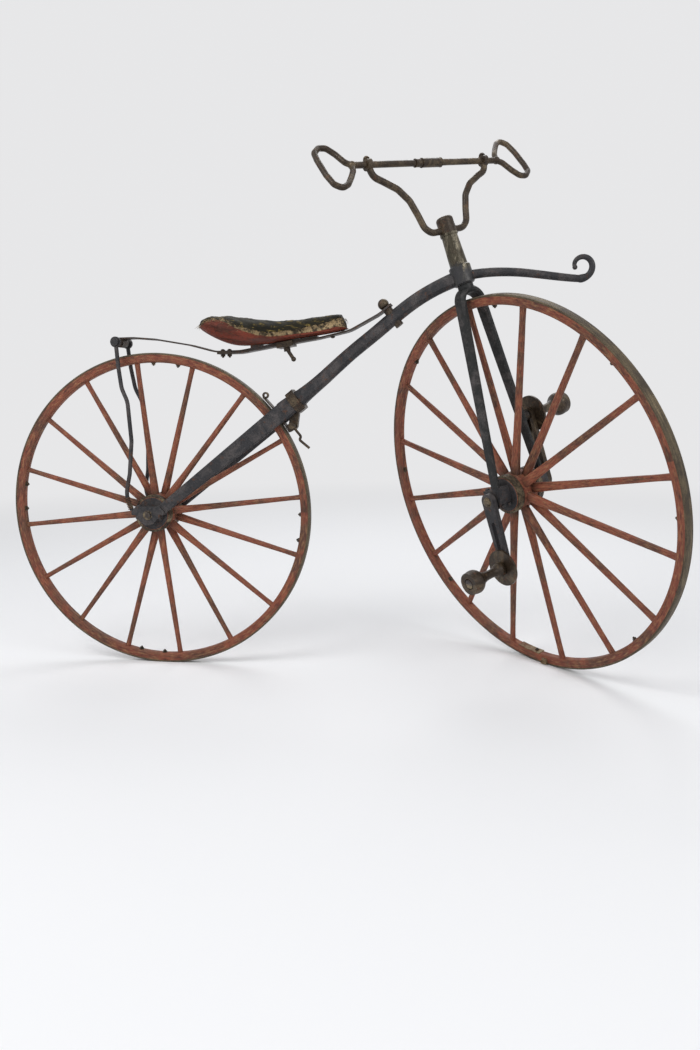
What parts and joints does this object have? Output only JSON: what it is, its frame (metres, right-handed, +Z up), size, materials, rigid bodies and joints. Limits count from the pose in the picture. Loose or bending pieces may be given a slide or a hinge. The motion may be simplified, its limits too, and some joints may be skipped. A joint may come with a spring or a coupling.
{
  "type": "boneshaker velocipede",
  "caption": "Antique velocipede with wooden spoked wheels, iron tyres, a forged backbone, a padded leather saddle on a leaf spring, and cranks with spool pedals on its larger front wheel.",
  "frame": {"origin": "where the rider sits, on top of the saddle", "axes": "+X forward, +Y to the left, +Z up"},
  "size_m": [1.6239, 0.6867, 1.2874],
  "materials": {
    "axle_steel": "worn steel",
    "iron_black": "worn dark iron with a rust tint",
    "iron_rust": "rusted brown iron",
    "iron_tyre": "scuffed bare iron band",
    "saddle_leather": "cracked red leather",
    "saddle_padding": "worn dark leather over stuffing",
    "wheel_paint": "worn brick red paint over wood"
  },
  "bodies": {
    "frame": {"backbone": "iron_black", "head_socket": "iron_black", "leg_rest": "iron_black", "stay_cross_bolt": "iron_rust", "rear_spring": "iron_black", "main_spring": "iron_black", "seat_bolt": "iron_rust", "saddle_strap": "iron_black", "saddle_clamp": "iron_rust", "clamp_screw": "iron_rust", "saddle_pan": "saddle_leather", "saddle_cushion": "saddle_padding", "brake_collar": "iron_rust", "brake_shoe": "iron_black", "brake_rod": "iron_rust", "brake_pivot": "iron_rust", "rear_fork_arm_left": "iron_black", "rear_fork_arm_right": "iron_black", "rear_bearing_cap_left": "iron_black", "rear_bearing_cap_right": "iron_black", "saddle_stay_left": "iron_black", "saddle_stay_right": "iron_black"},
    "steering": {"fork_crown": "iron_rust", "handlebar_bracket": "iron_rust", "handlebar": "iron_rust", "handlebar_sleeve": "iron_rust", "steering_cap": "iron_rust", "fork_blade_left": "iron_black", "fork_blade_right": "iron_black", "front_bearing_left": "iron_black", "front_bearing_right": "iron_black"},
    "front_wheel": {"front_tyre": "iron_tyre", "front_felloe": "wheel_paint", "front_nave": "wheel_paint", "front_spokes": "wheel_paint", "front_nave_bands": "iron_tyre", "front_axle": "axle_steel", "crank_left": "iron_rust", "crank_right": "iron_rust", "pedal_pin_left": "axle_steel", "pedal_pin_right": "axle_steel"},
    "pedal_left": {"pedal_left": "iron_rust"},
    "pedal_right": {"pedal_right": "iron_rust"},
    "rear_wheel": {"rear_tyre": "iron_tyre", "rear_felloe": "wheel_paint", "rear_nave": "wheel_paint", "rear_spokes": "wheel_paint", "rear_nave_bands": "iron_tyre", "rear_axle": "axle_steel"}
  },
  "joints": [
    {"name": "steering_turn", "type": "hinge", "parent": "frame", "child": "steering", "pos_m": [0.61404, 0, -0.39958], "axis": [-0.309, 0, 0.9511], "range_deg": [-42.5, 137.5]},
    {"name": "front_wheel_spin", "type": "hinge", "parent": "steering", "child": "front_wheel", "pos_m": [0.58577, 0.03244, -0.40876], "axis": [0.7012, 0.6756, 0.2278], "continuous": true},
    {"name": "rear_wheel_spin", "type": "hinge", "parent": "frame", "child": "rear_wheel", "pos_m": [-0.3098, 0, -0.46025], "axis": [0, 1, 0], "continuous": true},
    {"name": "pedal_left_spin", "type": "hinge", "parent": "front_wheel", "child": "pedal_left", "pos_m": [0.54548, 0.02216, -0.25426], "axis": [0.7012, 0.6756, 0.2278], "continuous": true},
    {"name": "pedal_right_spin", "type": "hinge", "parent": "front_wheel", "child": "pedal_right", "pos_m": [0.62607, 0.04272, -0.56327], "axis": [0.7012, 0.6756, 0.2278], "continuous": true}
  ]
}
